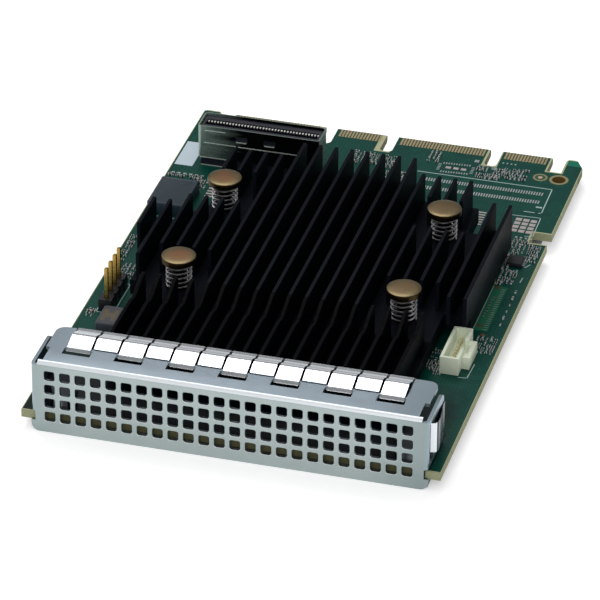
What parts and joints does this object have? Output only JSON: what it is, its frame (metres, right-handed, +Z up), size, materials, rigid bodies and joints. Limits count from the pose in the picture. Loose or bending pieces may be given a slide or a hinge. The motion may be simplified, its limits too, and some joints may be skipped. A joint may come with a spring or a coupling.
{
  "type": "storage controller mezzanine card",
  "caption": "Storage controller mezzanine card with a finned heatsink on sprung push pins, a perforated bracket and a slotted contact edge.",
  "frame": {"origin": "middle of the card's footprint, on the surface it stands on", "axes": "+X across the card, to the right seen from the bracket; +Y from the bracket to the contact edge; +Z up, from the board to the fins"},
  "size_m": [0.076, 0.115, 0.0153],
  "materials": {
    "board": "satin solder mask, teal green",
    "contact_gold": "gold plated, satin",
    "bracket_steel": "plated sheet, satin",
    "strip_steel": "bright spring sheet",
    "fixing_steel": "plated steel",
    "heatsink_black": "black anodised, satin",
    "pin_brass": "satin, turned",
    "spring_wire": "bright wire",
    "shell_steel": "plated sheet",
    "socket_black": "moulded",
    "contact_pale": "plated",
    "header_ivory": "moulded",
    "pin_gold": "gold plated",
    "strip_black": "moulded",
    "inductor_grey": "moulded, slate grey",
    "inductor_tan": "moulded, tan grey",
    "chip_black": "moulded",
    "pad_grey": "soft thermal pad",
    "capacitor_tan": "fired ceramic with tinned ends",
    "label_paper": "matt"
  },
  "bodies": {
    "root": {"circuit_board": "board", "edge_contacts_top": "contact_gold", "edge_contacts_bottom": "contact_gold", "plated_rings": "contact_gold", "io_bracket": "bracket_steel", "top_spring_strip": "strip_steel", "side_spring_left": "strip_steel", "side_spring_right": "strip_steel", "bracket_nuts": "fixing_steel", "bracket_screws": "fixing_steel", "heatsink": "heatsink_black", "push_pin_rear_left": "pin_brass", "push_pin_front_left": "pin_brass", "push_pin_rear_right": "pin_brass", "push_pin_front_right": "pin_brass", "pin_spring_rear_left": "spring_wire", "pin_spring_front_left": "spring_wire", "pin_spring_rear_right": "spring_wire", "pin_spring_front_right": "spring_wire", "storage_shell": "shell_steel", "storage_body": "socket_black", "storage_contacts_front": "contact_pale", "storage_contacts_rear": "contact_pale", "header_housing": "header_ivory", "header_pins": "contact_pale", "pin_strip_base": "strip_black", "pin_strip_pins": "pin_gold", "large_inductor": "inductor_grey", "small_inductor": "inductor_tan", "clock_chip": "chip_black", "regulator_chip": "chip_black", "controller_chip": "chip_black", "controller_pad": "pad_grey", "memory_chip_1": "chip_black", "memory_chip_2": "chip_black", "memory_chip_3": "chip_black", "memory_chip_4": "chip_black", "memory_chip_5": "chip_black", "memory_pad": "pad_grey", "chip_capacitors": "capacitor_tan", "underside_capacitors": "capacitor_tan", "paper_label": "label_paper"}
  },
  "joints": []
}
